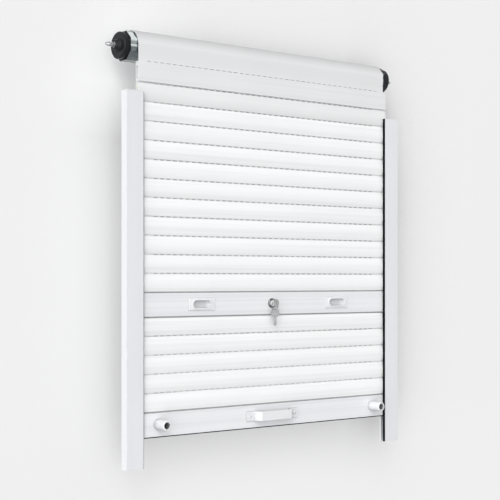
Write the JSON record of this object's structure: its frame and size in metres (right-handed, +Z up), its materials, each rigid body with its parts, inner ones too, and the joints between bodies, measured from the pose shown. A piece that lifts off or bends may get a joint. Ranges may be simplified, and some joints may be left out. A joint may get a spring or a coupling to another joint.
{
  "type": "exterior roller shutter",
  "caption": "White exterior roller shutter: convex hooked slats in guide rails, hung from a spring roller, with a key lock, finger pulls, bow handle and stoppers.",
  "frame": {"origin": "midway between the two guide rails, on their back plane, at the height of their lower ends", "axes": "+X along the slats to the right as seen from outside, +Y in through the wall towards the window, +Z up"},
  "size_m": [0.806, 0.1128, 0.8978],
  "materials": {
    "white_coat": "white powder coat on aluminium",
    "white_plastic": "smooth white moulding",
    "apron_sheet": "satin flexible sheet",
    "black_plastic": "satin black moulding",
    "black_rubber": "matt black",
    "galvanised": "zinc plated sheet",
    "steel": "bright drawn steel",
    "bright_metal": "nickel plated",
    "screw_steel": "zinc plated",
    "nylon": "natural nylon",
    "foam": "rigid foam"
  },
  "bodies": {
    "frame": {"left_guide_rail": "white_coat", "right_guide_rail": "white_coat", "left_liner": "black_rubber", "right_liner": "black_rubber", "left_lock_strike": "galvanised", "right_lock_strike": "galvanised", "strike_screws": "screw_steel", "axle": "steel", "spring_anchor": "steel", "torsion_spring": "steel", "top_apron": "apron_sheet"},
    "roller": {"roller_tube": "galvanised", "left_end_cap": "black_plastic", "right_end_cap": "black_plastic", "tube_bushes": "nylon", "spring_plug": "black_plastic", "apron_clamp": "galvanised", "apron_screws": "screw_steel"},
    "curtain": {"top_slat": "white_coat", "slat_01": "white_coat", "slat_02": "white_coat", "slat_03": "white_coat", "slat_04": "white_coat", "slat_05": "white_coat", "slat_06": "white_coat", "slat_07": "white_coat", "slat_08": "white_coat", "slat_09": "white_coat", "slat_10": "white_coat", "slat_11": "white_coat", "slat_12": "white_coat", "slat_13": "white_coat", "slat_14": "white_coat", "slat_15": "white_coat", "slat_16": "white_coat", "slat_foam": "foam", "slat_end_locks": "black_plastic", "lock_slat": "white_coat", "bottom_slat": "white_coat", "bottom_seal": "black_rubber", "bow_handle": "white_plastic", "handle_screws": "screw_steel", "left_stopper": "white_plastic", "right_stopper": "white_plastic", "stopper_screws": "screw_steel", "left_finger_pull": "white_plastic", "right_finger_pull": "white_plastic", "lock_rose": "bright_metal", "lock_housing": "bright_metal", "lock_case": "steel", "lock_case_screws": "screw_steel", "left_bar_guide": "black_plastic", "right_bar_guide": "black_plastic"},
    "lock_core": {"lock_plug": "bright_metal", "lock_pinion": "steel"},
    "left_bar": {"left_lock_bar": "galvanised"},
    "right_bar": {"right_lock_bar": "galvanised"},
    "lock_key": {"key": "bright_metal"},
    "key_bunch": {"key_ring": "bright_metal", "spare_key": "bright_metal"}
  },
  "joints": [
    {"name": "curtain_travel", "type": "slide", "parent": "frame", "child": "curtain", "axis": [0, 0, 1], "range_m": [-0.06, 0.022], "deforming": ["top_apron"]},
    {"name": "roller_turn", "type": "hinge", "parent": "frame", "child": "roller", "pos_m": [0, 0.02738, 0.8635], "axis": [-1, 0, 0], "range_deg": [-103, 38]},
    {"name": "lock_turn", "type": "hinge", "parent": "curtain", "child": "lock_core", "pos_m": [0, -0.012, 0.3327], "axis": [0, 1, 0], "range_deg": [0, 90]},
    {"name": "left_bar_slide", "type": "slide", "parent": "curtain", "child": "left_bar", "axis": [-1, 0, 0], "range_m": [0, 0.0118]},
    {"name": "right_bar_slide", "type": "slide", "parent": "curtain", "child": "right_bar", "axis": [1, 0, 0], "range_m": [0, 0.0118]},
    {"name": "key_draw", "type": "slide", "parent": "lock_core", "child": "lock_key", "axis": [0, -1, 0], "range_m": [0, 0.022]},
    {"name": "key_hang", "type": "hinge", "parent": "lock_key", "child": "key_bunch", "pos_m": [0, -0.03, 0.3327], "axis": [0, 1, 0], "range_deg": [-90, 0]}
  ],
  "couplings": [
    {"joint": "roller_turn", "follows": "curtain_travel", "rad_per_m": 29.783},
    {"joint": "left_bar_slide", "follows": "lock_turn", "m_per_rad": 0.0075},
    {"joint": "right_bar_slide", "follows": "lock_turn", "m_per_rad": 0.0075},
    {"joint": "key_hang", "follows": "lock_turn", "ratio": -1}
  ]
}
